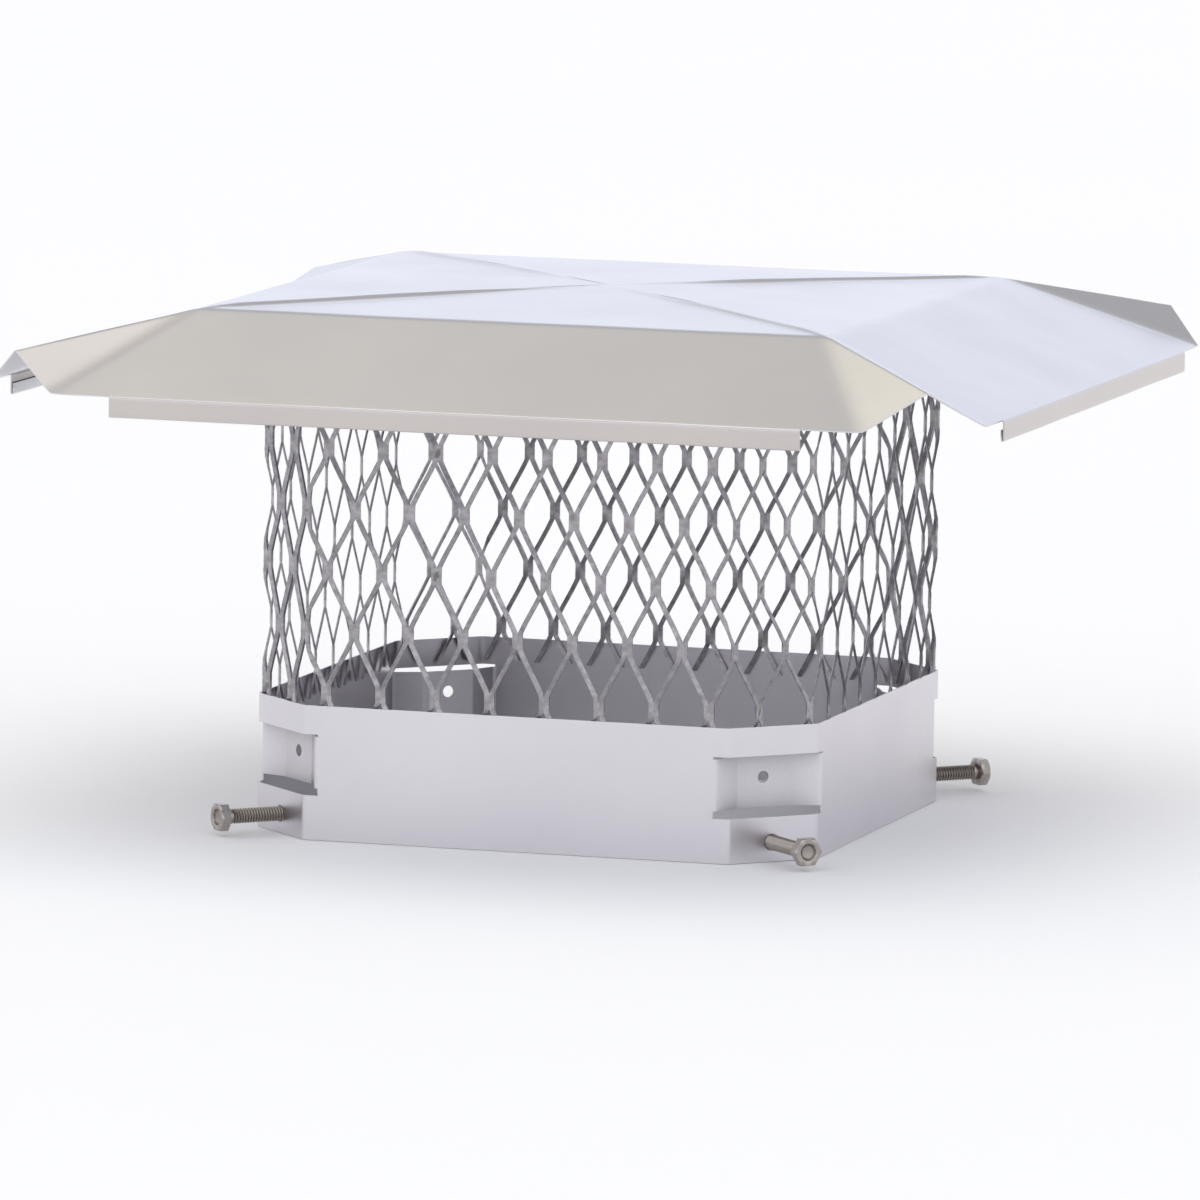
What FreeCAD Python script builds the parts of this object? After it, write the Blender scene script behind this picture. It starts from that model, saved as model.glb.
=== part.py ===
"""Bolt-on chimney cap for one clay flue tile, in stainless sheet and expanded metal.

Frame: millimetres, +Z up, origin in the middle of the skirt's lower rim.
The front face looks towards -Y and the right face towards +X.
"""
import FreeCAD, Part
import math
import os

from FreeCAD import Placement, Rotation, Vector

doc = FreeCAD.newDocument("ChimneyCap")
sheet = doc.addObject("Spreadsheet::Sheet", "Sizes")

UP = Vector(0, 0, 1)
FLOOR_POINT = Vector(0, 0, 0)

# The skirt and the screen have eight upright bends, each of this angle in degrees
BEND_ANGLE = 45

# How far a drill reaches past each face of the sheet that it goes through
DRILL_MARGIN = "2 * Sizes.gauge"

# The skirt's four cut corners, anticlockwise from above
CORNERS = ("front_right", "back_right", "back_left", "front_left")

# Driving sizes in millimetres, and one angle in degrees, under their names in the sheet
SIZES = {
    # Sheet metal
    "gauge": 0.6,  # thickness of the skirt's and the lid's sheet

    # Skirt: one folded band with a lap seam
    "skirt_width": 243,  # skirt, outside width across the flats
    "skirt_height": 56,  # skirt, height of the band
    "corner_leg": 30,  # skirt, how much each corner is cut back along each side
    "bend_radius": 4,  # skirt, outside radius of its eight bends
    "lap_width": 20,  # skirt, width of the lap seam on the back

    # Corner window and the strap that is pushed in through it
    "window_bottom": 18.5,  # corner window, height of its lower edge
    "window_top": 44,  # corner window, height of its upper edge
    "window_reach": 6.5,  # corner window, how far it runs past each bend
    "strap_bottom": 21.5,  # strap, height of its lower edge
    "strap_top": 43,  # strap, height of its upper edge
    "strap_depth": 8.5,  # strap, how far its plate lies in from the corner face
    "strap_plate": 24,  # strap, width of its flat plate
    "strap_bend": 2.5,  # strap, outside radius of its four bends
    "strap_hole": 5,  # strap, diameter of the hole in its plate
    "strap_hole_height": 34,  # strap, height of that hole

    # Clamp bolts and their weld nuts
    "bolt_height": 8,  # clamp bolt, height of its axis
    "bolt_diameter": 6.35,  # clamp bolt, outside diameter of its thread
    "bolt_length": 50.8,  # clamp bolt, length below the head
    "bolt_tip_chamfer": 0.8,  # clamp bolt, chamfer at its tip
    "head_flats": 11.1,  # clamp bolt, width across the head's flats
    "head_thick": 4.2,  # clamp bolt, height of the head
    "head_chamfer": 0.5,  # clamp bolt, chamfer round the head's top
    "standout_front_right": 27,  # clamp bolt, bare length outside the corner
    "standout_back_right": 31,  # clamp bolt, bare length outside the corner
    "standout_back_left": 29,  # clamp bolt, bare length outside the corner
    "standout_front_left": 25,  # clamp bolt, bare length outside the corner
    "nut_flats": 11.1,  # weld nut, width of its square
    "nut_thick": 5.5,  # weld nut, thickness
    "thread_clearance": 0.05,  # bolt in nut, clearance on the radius
    "hole_clearance": 0.4,  # bolt in skirt, clearance on the radius

    # Screen: expanded metal wrapped round the flue opening
    "screen_gap": 0.3,  # screen, clearance inside the skirt
    "screen_thick": 1.2,  # screen, thickness of the strands
    "screen_lap": 10,  # screen, how far it reaches down inside the skirt
    "screen_columns": 38,  # screen, diamonds in one turn
    "diamond_long": 50.8,  # screen, long way of one diamond
    "bond_width": 3.8,  # screen, width of the bond between two diamonds
    "bond_length": 6.5,  # screen, length of that bond
    "first_bond": 5.5,  # screen, height of the first row of bonds above the skirt

    # Lid: one sheet with cross breaks, four flaps, four pleats and four drip lips
    "lid_height": 220.5,  # lid, height of the corners of its middle
    "lid_flat": 270,  # lid, width of its middle
    "lid_rise": 3.2,  # lid, how far the cross breaks lift its centre
    "flap_length": 83,  # lid, slope length of a flap
    "flap_angle": 21,  # lid, fall of a flap below level, in degrees
    "pleat_width": 37,  # lid, width of a pleat on the flap's edge
    "lip_drop": 8.5,  # lid, height of the drip lip
    "lip_overrun": 11,  # lid, how far a lip runs past its flap's bend line
    "lid_clearance": 0.2,  # lid, clearance above the screen
}
for row, (alias, number) in enumerate(SIZES.items(), 1):
    sheet.set(f"A{row}", alias)
    sheet.set(f"B{row}", str(number))
    sheet.setAlias(f"B{row}", alias)
doc.recompute()


def mm(alias):
    """Return one size of the sheet as a number."""
    return float(sheet.get(alias))


def bound(thing, **sizes):
    """Tie properties of an object to the sheet: each value is an expression in aliases."""
    for name, expression in sizes.items():
        thing.setExpression(name.replace("__", "."), expression)
    return thing


def facing(place):
    """Return the outward angle of a cut corner, in degrees from +X."""
    return BEND_ANGLE * (2 * CORNERS.index(place) - 1)


def direction(degrees):
    """Return the level unit vector at an angle from +X."""
    return Vector(math.cos(math.radians(degrees)), math.sin(math.radians(degrees)), 0)


def prism(points, height):
    """Return a straight prism on a closed polygon of points."""
    return Part.Face(Part.makePolygon(points + points[:1])).extrude(height)


def piece(label, shape):
    """Add a finished solid as a sub-part with a label of its own."""
    feature = doc.addObject("Part::Feature", label)
    feature.Label = label
    feature.Shape = shape
    feature.Placement = Placement()
    return feature


# Skirt

CORNER_BOX_WIDTH = "(Sizes.skirt_width - Sizes.corner_leg) * sqrt(2)"


def octagon(name, inset, height, base):
    """Return a square block with cut corners: the common of a square and a turned square."""
    blocks = []
    for turn, width in ((0, "Sizes.skirt_width"), (BEND_ANGLE, CORNER_BOX_WIDTH)):
        box = doc.addObject("Part::Box", f"{name}_{turn}")
        side = f"({width} - 2 * ({inset}))"
        bound(box, Length=side, Width=side, Height=height)
        box.Placement.Rotation = Rotation(UP, turn)
        turned = math.radians(turn)
        bound(
            box,
            Placement__Base__x=f"-{side} / 2 * {math.cos(turned) - math.sin(turned)}",
            Placement__Base__y=f"-{side} / 2 * {math.cos(turned) + math.sin(turned)}",
            Placement__Base__z=base,
        )
        blocks.append(box)
    common = doc.addObject("Part::MultiCommon", name)
    common.Shapes = blocks
    return common


def rounded(name, block, radius):
    """Round the eight upright edges of a block."""
    doc.recompute()
    fillet = doc.addObject("Part::Fillet", name)
    fillet.Base = block
    upright = [
        number
        for number, edge in enumerate(block.Shape.Edges, 1)
        if abs(edge.tangentAt(edge.FirstParameter).z) > 0.5
    ]
    fillet.Edges = [(number, radius, radius) for number in upright]
    return fillet


def corner_box(name, degrees, across, depth, height, reach, base):
    """Return a box at a cut corner: square to the corner face and centred on it."""
    box = doc.addObject("Part::Box", name)
    bound(box, Length=depth, Width=across, Height=height)
    box.Placement.Rotation = Rotation(UP, degrees)
    out = direction(degrees)
    side = direction(degrees + 90)
    bound(
        box,
        Placement__Base__x=f"({reach}) * {out.x} - ({across}) / 2 * {side.x}",
        Placement__Base__y=f"({reach}) * {out.y} - ({across}) / 2 * {side.y}",
        Placement__Base__z=base,
    )
    return box


def corner_hole(name, degrees, radius, start, length, height):
    """Return a level drill through a cut corner, starting at a distance from the middle."""
    drill = doc.addObject("Part::Cylinder", name)
    out = direction(degrees)
    drill.Placement.Rotation = Rotation(UP, out)
    bound(
        drill,
        Radius=radius,
        Height=length,
        Placement__Base__x=f"({start}) * {out.x}",
        Placement__Base__y=f"({start}) * {out.y}",
        Placement__Base__z=height,
    )
    return drill


def bent_path(points, radius):
    """Return a wire through points in a level plane, with an arc of one radius at each bend.

    An arc touches both runs at the radius times the tangent of half the turn from the bend.
    """
    edges = []
    start = points[0]
    for bend, after in zip(points[1:-1], points[2:]):
        arrive = (bend - start).normalize()
        leave = (after - bend).normalize()
        turn = arrive.getAngle(leave)
        touch = radius * math.tan(turn / 2)
        middle = bend + (leave - arrive).normalize() * radius * (1 / math.cos(turn / 2) - 1)
        edges.append(Part.LineSegment(start, bend - arrive * touch).toShape())
        edges.append(Part.Arc(bend - arrive * touch, middle, bend + leave * touch).toShape())
        start = bend + leave * touch
    edges.append(Part.LineSegment(start, points[-1]).toShape())
    return Part.Wire(edges)


def strap(name, degrees):
    """Return the strap of one corner: the band's middle strip, pushed in as a shallow tray.

    It leaves one face where the window ends, runs in to the plate, and comes back to the
    other face the same way. Its path is the sheet's outer surface.
    """
    out = direction(degrees)
    side = direction(degrees + 90)
    corner_face = (mm("skirt_width") - mm("corner_leg")) / math.sqrt(2)
    half_corner = mm("corner_leg") / math.sqrt(2)
    half_plate = mm("strap_plate") / 2
    slant = math.cos(math.radians(BEND_ANGLE))

    def at(across, inward):
        return out * (corner_face - inward) + side * across + UP * mm("strap_bottom")

    def on_face(reach, sign):
        return at(sign * (half_corner + reach * slant), reach * slant)

    window = mm("window_reach")
    run_in = math.atan2(
        mm("strap_depth") - window * slant,
        half_corner + window * slant - half_plate,
    )
    turn = math.radians(BEND_ANGLE) + run_in
    bend = window - mm("strap_bend") * math.tan(turn / 2)
    root = window + mm("gauge")
    path = bent_path(
        [
            on_face(root, 1),
            on_face(bend, 1),
            at(half_plate, mm("strap_depth")),
            at(-half_plate, mm("strap_depth")),
            on_face(bend, -1),
            on_face(root, -1),
        ],
        mm("strap_bend"),
    )
    strip = path.makeOffset2D(mm("gauge"), 0, True, True)
    solid = strip.extrude(UP * (mm("strap_top") - mm("strap_bottom")))
    return piece(name, solid)


outer = rounded("skirt_outer", octagon("skirt_block", "0", "Sizes.skirt_height", "0"), mm("bend_radius"))
hollow = rounded(
    "skirt_hollow",
    octagon("hollow_block", "Sizes.gauge", "Sizes.skirt_height + 2 * Sizes.gauge", "-Sizes.gauge"),
    mm("bend_radius") - mm("gauge"),
)
band = doc.addObject("Part::Cut", "skirt_band")
band.Base = outer
band.Tool = hollow

corner_face_reach = "(Sizes.skirt_width - Sizes.corner_leg) / sqrt(2)"
windows = []
drills = []
straps = []
for place in CORNERS:
    degrees = facing(place)
    windows.append(corner_box(
        f"window_{place}", degrees,
        "(Sizes.corner_leg + 2 * Sizes.window_reach) * sqrt(2)",
        "Sizes.window_reach",
        "Sizes.window_top - Sizes.window_bottom",
        f"{corner_face_reach} - Sizes.window_reach / sqrt(2)",
        "Sizes.window_bottom",
    ))
    drills.append(corner_hole(
        f"bolt_hole_{place}", degrees,
        "Sizes.bolt_diameter / 2 + Sizes.hole_clearance",
        f"{corner_face_reach} - Sizes.gauge - {DRILL_MARGIN}",
        f"Sizes.gauge + 2 * {DRILL_MARGIN}",
        "Sizes.bolt_height",
    ))
    drills.append(corner_hole(
        f"strap_hole_{place}", degrees,
        "Sizes.strap_hole / 2",
        f"{corner_face_reach} - Sizes.strap_depth - Sizes.gauge - {DRILL_MARGIN}",
        f"Sizes.gauge + 2 * {DRILL_MARGIN}",
        "Sizes.strap_hole_height",
    ))
    straps.append(strap(f"strap_{place}", degrees))

open_band = doc.addObject("Part::Cut", "skirt_open")
open_band.Base = band
window_set = doc.addObject("Part::Compound", "windows")
window_set.Links = windows
open_band.Tool = window_set

seam = doc.addObject("Part::Box", "lap_seam")
bound(
    seam,
    Length="Sizes.lap_width",
    Width="Sizes.gauge",
    Height="Sizes.skirt_height",
    Placement__Base__x="-Sizes.lap_width / 2",
    Placement__Base__y="Sizes.skirt_width / 2",
)

formed = doc.addObject("Part::MultiFuse", "skirt_formed")
formed.Shapes = [open_band, seam] + straps
drill_set = doc.addObject("Part::Compound", "drills")
drill_set.Links = drills
skirt = doc.addObject("Part::Cut", "skirt")
skirt.Base = formed
skirt.Tool = drill_set
skirt.Label = "skirt"


# Clamp bolts and weld nuts

def feature(body, kind, name, **sizes):
    """Add one PartDesign feature to a body, with its sizes tied to the sheet."""
    return bound(body.newObject(f"PartDesign::{kind}", name), **sizes)


def chamfer(body, base, edges, name, alias):
    """Chamfer named edges of a feature by a size of the sheet."""
    cut = body.newObject("PartDesign::Chamfer", name)
    cut.Base = (base, edges)
    return bound(cut, Size=f"Sizes.{alias}")


def rim_edges(shape, height):
    """Return the names of a shape's edges that lie wholly at one height."""
    return [
        f"Edge{number}"
        for number, edge in enumerate(shape.Edges, 1)
        if all(abs(vertex.Z - height) < 1e-6 for vertex in edge.Vertexes)
    ]


def on_corner_axis(body, degrees, reach):
    """Stand a body at a cut corner: its +Z points out along the bolt's axis, its +X up."""
    out = direction(degrees)
    body.Placement = Placement(FLOOR_POINT, Rotation(UP, out.cross(UP), out, "ZXY"))
    bound(
        body,
        Placement__Base__x=f"({reach}) * {out.x}",
        Placement__Base__y=f"({reach}) * {out.y}",
        Placement__Base__z="Sizes.bolt_height",
    )


def clamp_bolt(place, degrees):
    """Build one hex bolt: head above its own XY plane, shank below."""
    body = doc.addObject("PartDesign::Body", f"clamp_bolt_{place}")
    body.Label = f"clamp_bolt_{place}"
    shank = feature(
        body, "AdditiveCylinder", f"shank_{place}",
        Radius="Sizes.bolt_diameter / 2",
        Height="Sizes.bolt_length",
        Placement__Base__z="-Sizes.bolt_length",
    )
    doc.recompute()
    chamfer(body, shank, rim_edges(shank.Shape, -mm("bolt_length")), f"tip_{place}", "bolt_tip_chamfer")
    head = feature(
        body, "AdditivePrism", f"head_{place}",
        Circumradius="Sizes.head_flats / sqrt(3)",
        Height="Sizes.head_thick",
    )
    head.Polygon = 6
    doc.recompute()
    chamfer(body, head, rim_edges(head.Shape, mm("head_thick")), f"crown_{place}", "head_chamfer")
    on_corner_axis(body, degrees, f"{corner_face_reach} + Sizes.standout_{place}")
    return body


def weld_nut(place, degrees):
    """Build one square nut: its outer face lies on the inside of the corner face."""
    body = doc.addObject("PartDesign::Body", f"weld_nut_{place}")
    body.Label = f"weld_nut_{place}"
    feature(
        body, "AdditiveBox", f"block_{place}",
        Length="Sizes.nut_flats",
        Width="Sizes.nut_flats",
        Height="Sizes.nut_thick",
        Placement__Base__x="-Sizes.nut_flats / 2",
        Placement__Base__y="-Sizes.nut_flats / 2",
        Placement__Base__z="-Sizes.nut_thick",
    )
    feature(
        body, "SubtractiveCylinder", f"bore_{place}",
        Radius="Sizes.bolt_diameter / 2 + Sizes.thread_clearance",
        Height="Sizes.nut_thick",
        Placement__Base__z="-Sizes.nut_thick",
    )
    on_corner_axis(body, degrees, f"{corner_face_reach} - Sizes.gauge")
    return body


bolts = [clamp_bolt(place, facing(place)) for place in CORNERS]
nuts = [weld_nut(place, facing(place)) for place in CORNERS]


# Screen

def clipped(outline, low, high):
    """Return the part of an (along, height) outline that lies between two bends."""
    for bound_at, keep in ((low, 1), (high, -1)):
        kept = []
        for here, after in zip(outline, outline[1:] + outline[:1]):
            here_in = keep * (here[0] - bound_at) >= 0
            after_in = keep * (after[0] - bound_at) >= 0
            if here_in:
                kept.append(here)
            if here_in != after_in:
                share = (bound_at - here[0]) / (after[0] - here[0])
                kept.append((bound_at, here[1] + share * (after[1] - here[1])))
        outline = kept
    return outline


def screen_panels():
    """Return the wrapped screen as its eight flat panels, which meet along the bends.

    The openings are laid out on the unrolled sheet, row by row, each row half a diamond
    on from the last, and each is cut through the panel that it falls on. One that falls
    on a bend is cut from both panels. A strand end that a bend parts from its own panel
    stays on the panel next to it, or is cut off where it touches neither.
    """
    inset = mm("gauge") + mm("screen_gap")
    half = mm("skirt_width") / 2 - inset
    leg = mm("corner_leg") - inset * (2 - math.sqrt(2))
    thick = mm("screen_thick")
    bottom = mm("skirt_height") - mm("screen_lap")
    lift = mm("lid_rise") * (1 - 2 * half / mm("lid_flat"))
    top = mm("lid_height") - mm("gauge") + lift - mm("lid_clearance")

    lengths = [2 * (half - leg), leg * math.sqrt(2)] * (len(SCREEN_SIDES) // 2)
    turn = sum(lengths)
    pitch = turn / mm("screen_columns")
    bends = [sum(lengths[:side]) for side in range(len(lengths) + 1)]
    mitre = thick * math.tan(math.radians(BEND_ANGLE / 2))
    margin = thick

    half_open = (pitch - mm("bond_width")) / 2
    half_bond = mm("bond_length") / 2
    tip = mm("diamond_long") / 2 - half_bond
    first_row = mm("skirt_height") + mm("first_bond")
    row_step = mm("diamond_long") / 2
    lowest = math.floor((bottom - first_row - tip) / row_step)
    highest = math.ceil((top - first_row + tip) / row_step)
    diamonds = []
    for row in range(lowest, highest + 1):
        height = first_row + row * row_step
        if height + tip <= bottom or height - tip >= top:
            continue
        start = (lengths[0] / 2 + pitch * (row % 2) / 2) % pitch - pitch
        for column in range(int(mm("screen_columns")) + 2):
            along = start + column * pitch
            diamonds.append([
                (along - half_open, height - half_bond),
                (along, height - tip),
                (along + half_open, height - half_bond),
                (along + half_open, height + half_bond),
                (along, height + tip),
                (along - half_open, height + half_bond),
            ])

    panels = []
    strays = []
    corner = Vector(leg - half, -half, 0)
    for side, length in enumerate(lengths):
        run = direction(BEND_ANGLE * side)
        inward = direction(BEND_ANGLE * side + 90)
        foot = corner + UP * bottom
        plan = [
            foot,
            foot + run * length,
            foot + run * (length - mitre) + inward * thick,
            foot + run * mitre + inward * thick,
        ]
        openings = []
        for diamond in diamonds:
            outline = clipped(diamond, bends[side], bends[side + 1])
            if len(outline) > 2:
                base = corner - inward * margin
                points = [base + run * (at - bends[side]) + UP * up for at, up in outline]
                openings.append(prism(points, inward * (thick + 2 * margin)))
        solids = prism(plan, UP * (top - bottom)).cut(openings).Solids
        solids.sort(key=lambda solid: solid.Volume)
        strays.extend((side, solid) for solid in solids[:-1])
        panels.append(solids[-1])
        corner = corner + run * length

    for side, stray in strays:
        for beside in (side - 1, (side + 1) % len(panels)):
            joined = panels[beside].fuse(stray).removeSplitter()
            if len(joined.Solids) == 1:
                panels[beside] = joined.Solids[0]
                break
        else:
            print(f"strand end of {stray.Volume:.2f} mm3 cut off at side {side}")
    return panels


SCREEN_SIDES = (
    "front", "front_right", "right", "back_right", "back", "back_left", "left", "front_left",
)
screens = [
    piece(f"screen_{side}", shape)
    for side, shape in zip(SCREEN_SIDES, screen_panels())
]


# Lid

def lid_shape():
    """Return the folded lid: middle, flaps, pleats and drip lips of one sheet.

    Each flap's valley crease leaves the middle's corner at an angle to the flap's side.
    The corner of the blank is cut straight across between two creases, and the pleat's
    ridge rises along the diagonal, as far as the two angles at the corner allow without
    stretching the sheet.
    """
    half = mm("lid_flat") / 2
    top = mm("lid_height")
    fall = math.radians(mm("flap_angle"))
    out = mm("flap_length") * math.cos(fall)
    down = mm("flap_length") * math.sin(fall)
    gauge = mm("gauge")

    crease = math.atan(mm("pleat_width") / mm("flap_length"))
    level = (math.sin(crease) + math.cos(crease) * math.cos(fall)) / math.sqrt(2)
    sunk = math.cos(crease) * math.sin(fall)
    spread = math.cos(math.radians(45) - crease)
    ridge_fall = math.atan2(sunk, level) - math.acos(spread / math.hypot(level, sunk))
    ridge = (mm("pleat_width") + mm("flap_length")) / math.sqrt(2)
    ridge_out = ridge * math.cos(ridge_fall) / math.sqrt(2)
    ridge_down = ridge * math.sin(ridge_fall)

    middle_point = Vector(0, 0, top + mm("lid_rise"))
    left_corner = Vector(-half, -half, top)
    right_corner = Vector(half, -half, top)
    left_crease = Vector(-half - mm("pleat_width"), -half - out, top - down)
    right_crease = Vector(half + mm("pleat_width"), -half - out, top - down)
    next_crease = Vector(half + out, -half - mm("pleat_width"), top - down)
    ridge_tip = Vector(half + ridge_out, -half - ridge_out, top - ridge_down)

    facets = [
        [middle_point, left_corner, right_corner],
        [left_corner, left_crease, right_crease, right_corner],
        [right_corner, right_crease, ridge_tip],
        [right_corner, ridge_tip, next_crease],
    ]
    quarter = [prism(facet, -UP * gauge) for facet in facets]

    lip_half = half + mm("lip_overrun")
    fold = Vector(-lip_half, -half - out, top - down)
    inner = fold + Vector(0, gauge, gauge * math.tan(fall))
    drop = UP * mm("lip_drop")
    section = [fold, fold - drop, fold - drop + Vector(0, gauge, 0), inner]
    quarter.append(prism(section, Vector(2 * lip_half, 0, 0)))

    whole = []
    for turn in range(4):
        for facet in quarter:
            turned = facet.copy()
            turned.rotate(FLOOR_POINT, UP, 90 * turn)
            whole.append(turned)
    return whole[0].fuse(whole[1:]).removeSplitter()


lid = piece("lid", lid_shape())


# Check every object and write each sub-part

doc.recompute()
for thing in doc.Objects:
    if "Invalid" in thing.State or "Error" in thing.State:
        raise RuntimeError(f"{thing.Name} failed: {thing.State}")

os.makedirs("parts", exist_ok=True)
for part in [skirt, lid] + screens + bolts + nuts:
    shape = part.Shape
    if shape.isNull() or not shape.isValid() or len(shape.Solids) != 1:
        raise RuntimeError(f"{part.Label} is not one valid solid")
    shape.exportStep(f"parts/{part.Label}.step")
    box = shape.BoundBox
    print(f"{part.Label}: {shape.Volume:.0f} mm3, z {box.ZMin:.2f} to {box.ZMax:.2f}")
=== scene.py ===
"""Studio scene of a bolt-on chimney cap in bright stainless sheet and expanded metal.

Sizes inside the classes are millimetres and every mesh is written in metres, in the frame
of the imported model: +Z up, the front face towards -Y, the origin in the middle of the
skirt's lower rim.
"""
import logging
import math
from dataclasses import dataclass, field
from enum import Enum
from typing import Any

import bmesh
import bpy
import numpy as np
from mathutils import Matrix, Vector


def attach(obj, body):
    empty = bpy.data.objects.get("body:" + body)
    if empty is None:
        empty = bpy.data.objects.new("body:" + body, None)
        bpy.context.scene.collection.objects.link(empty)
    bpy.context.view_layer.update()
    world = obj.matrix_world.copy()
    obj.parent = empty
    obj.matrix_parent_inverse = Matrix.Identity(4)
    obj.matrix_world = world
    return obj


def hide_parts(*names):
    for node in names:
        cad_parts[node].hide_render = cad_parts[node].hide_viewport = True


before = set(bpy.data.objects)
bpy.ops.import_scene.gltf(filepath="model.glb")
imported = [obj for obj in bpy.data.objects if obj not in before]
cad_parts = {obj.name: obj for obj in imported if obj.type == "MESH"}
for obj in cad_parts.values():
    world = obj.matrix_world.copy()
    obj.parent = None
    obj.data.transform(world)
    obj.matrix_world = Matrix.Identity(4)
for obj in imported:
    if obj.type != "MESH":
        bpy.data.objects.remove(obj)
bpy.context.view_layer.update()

Array = np.ndarray
Tone = tuple[float, float, float, float]
LOG = logging.getLogger("chimney_cap")

MM = 0.001
WELD_DISTANCE = 1e-6
UP = np.array([0.0, 0.0, 1.0])

# Distances from a fold, in mm, at which a surface is cut so that the fold comes out round
FOLD_CUTS = np.array([0.0, 0.3, 0.6, 0.9, 1.3, 1.8, 2.6, 4.0, 6.5])

# Sockets of the node that mixes colours, and of the one that multiplies and adds
MIX_SHARE, MIX_FIRST, MIX_SECOND, MIX_RESULT = 0, 6, 7, 2
VALUE, FACTOR, ADDEND = 0, 1, 2


class Corner(Enum):
    """The four cut corners, by the outward direction of each in degrees from +X."""

    FRONT_RIGHT = -45.0
    BACK_RIGHT = 45.0
    BACK_LEFT = 135.0
    FRONT_LEFT = 225.0

    @property
    def word(self) -> str:
        """Return the corner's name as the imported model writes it."""
        return self.name.lower()

    @property
    def outward(self) -> Array:
        """Return the corner's level outward unit vector."""
        turn = math.radians(self.value)
        return np.array([math.cos(turn), math.sin(turn), 0.0])


class Slot(Enum):
    """Names for material slots, which nothing in the script uses."""

    LID = "lid_sheet"
    SKIRT = "skirt_sheet"
    SCREEN = "screen_strand"
    BOLT = "bolt_steel"
    NUT = "nut_steel"


# Shapes shared by the pieces

def soft_least(one: Array, other: Array, blend: float) -> Array:
    """Return the lesser of two surfaces with the crease between them rounded.

    Where the two differ by less than the blend, the least is lowered by the square of
    what is left of the blend over four times the blend, which is a parabola that leaves
    each surface without a kink.

    Args:
        one: Heights of the first surface.
        other: Heights of the second surface.
        blend: Height difference within which the crease is rounded.

    Returns:
        Heights of the rounded lower surface.
    """
    near = np.maximum(blend - np.abs(one - other), 0.0)
    return np.minimum(one, other) - near * near / (4 * blend)


def soft_most(one: Array, other: Array, blend: float) -> Array:
    """Return the greater of two surfaces with the crease between them rounded."""
    return -soft_least(-one, -other, blend)


def spread_stations(length: float, coarse: float, fold_first: bool, fold_last: bool) -> Array:
    """Return positions along a run that crowd together where it meets a fold.

    Args:
        length: Length of the run.
        coarse: Spacing away from the folds.
        fold_first: Whether a fold lies at the run's start.
        fold_last: Whether a fold lies at the run's end.

    Returns:
        Rising positions from 0 to the length.
    """
    first = FOLD_CUTS if fold_first else FOLD_CUTS[:1]
    last = length - (FOLD_CUTS if fold_last else FOLD_CUTS[:1])[::-1]
    count = max(int(round((last[0] - first[-1]) / coarse)), 1)
    middle = np.linspace(first[-1], last[0], count + 1)[1:-1]
    return np.concatenate([first, middle, last])


@dataclass
class Surface:
    """Grids of points that are joined into one mesh."""

    points: list[Array] = field(default_factory=list)
    faces: list[Array] = field(default_factory=list)
    count: int = 0

    def add_grid(self, grid: Array, closed: bool = False, flip: bool = False) -> None:
        """Add a grid of points with a quad in each cell.

        Args:
            grid: Points, shaped rows by columns by 3.
            closed: Whether the last column joins the first.
            flip: Whether the faces look the other way than column cross row.
        """
        rows, columns = grid.shape[:2]
        index = np.arange(rows * columns).reshape(rows, columns) + self.count
        if closed:
            index = np.concatenate([index, index[:, :1]], axis=1)
        ring = [index[:-1, :-1], index[:-1, 1:], index[1:, 1:], index[1:, :-1]]
        if flip:
            ring.reverse()
        self.points.append(grid.reshape(-1, 3))
        self.faces.append(np.stack(ring, axis=-1).reshape(-1, 4))
        self.count += rows * columns

    def add_bars(self, corners: Array) -> None:
        """Add many closed four-sided bars at once.

        Args:
            corners: Section corners, shaped bars by sections by 4 by 3, each section
                turning to the left as seen from the bar's far end.
        """
        bars, sections = corners.shape[:2]
        index = np.arange(bars * sections * 4).reshape(bars, sections, 4) + self.count
        turned = np.roll(index, -1, axis=2)
        walls = np.stack([index[:, :-1], turned[:, :-1], turned[:, 1:], index[:, 1:]], axis=-1)
        self.points.append(corners.reshape(-1, 3))
        self.faces += [walls.reshape(-1, 4), index[:, 0, ::-1], index[:, -1]]
        self.count += bars * sections * 4

    def to_object(self, name: str, sharp_degrees: float) -> bpy.types.Object:
        """Write the mesh, weld its seams and poles, and shade it smooth between sharp edges.

        The sheet's free edges, which only one face uses, are sharp too.

        Args:
            name: Name of the new object.
            sharp_degrees: Angle between two faces past which their edge stays sharp.

        Returns:
            The new object, at the origin.
        """
        mesh = bpy.data.meshes.new(name)
        points = np.concatenate(self.points) * MM
        mesh.from_pydata(points.tolist(), [], np.concatenate(self.faces).tolist())
        work = bmesh.new()
        work.from_mesh(mesh)
        bmesh.ops.remove_doubles(work, verts=work.verts, dist=WELD_DISTANCE)
        work.to_mesh(mesh)
        work.free()
        mesh.polygons.foreach_set("use_smooth", np.ones(len(mesh.polygons), dtype=bool))
        mesh.set_sharp_from_angle(angle=math.radians(sharp_degrees))
        uses = np.empty(len(mesh.loops), dtype=np.int32)
        mesh.loops.foreach_get("edge_index", uses)
        sharp = np.empty(len(mesh.edges), dtype=bool)
        mesh.edges.foreach_get("use_edge_sharp", sharp)
        sharp |= np.bincount(uses, minlength=len(mesh.edges)) == 1
        mesh.edges.foreach_set("use_edge_sharp", sharp)
        mesh.update()
        thing = bpy.data.objects.new(name, mesh)
        bpy.context.scene.collection.objects.link(thing)
        return thing


# Finishes

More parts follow.
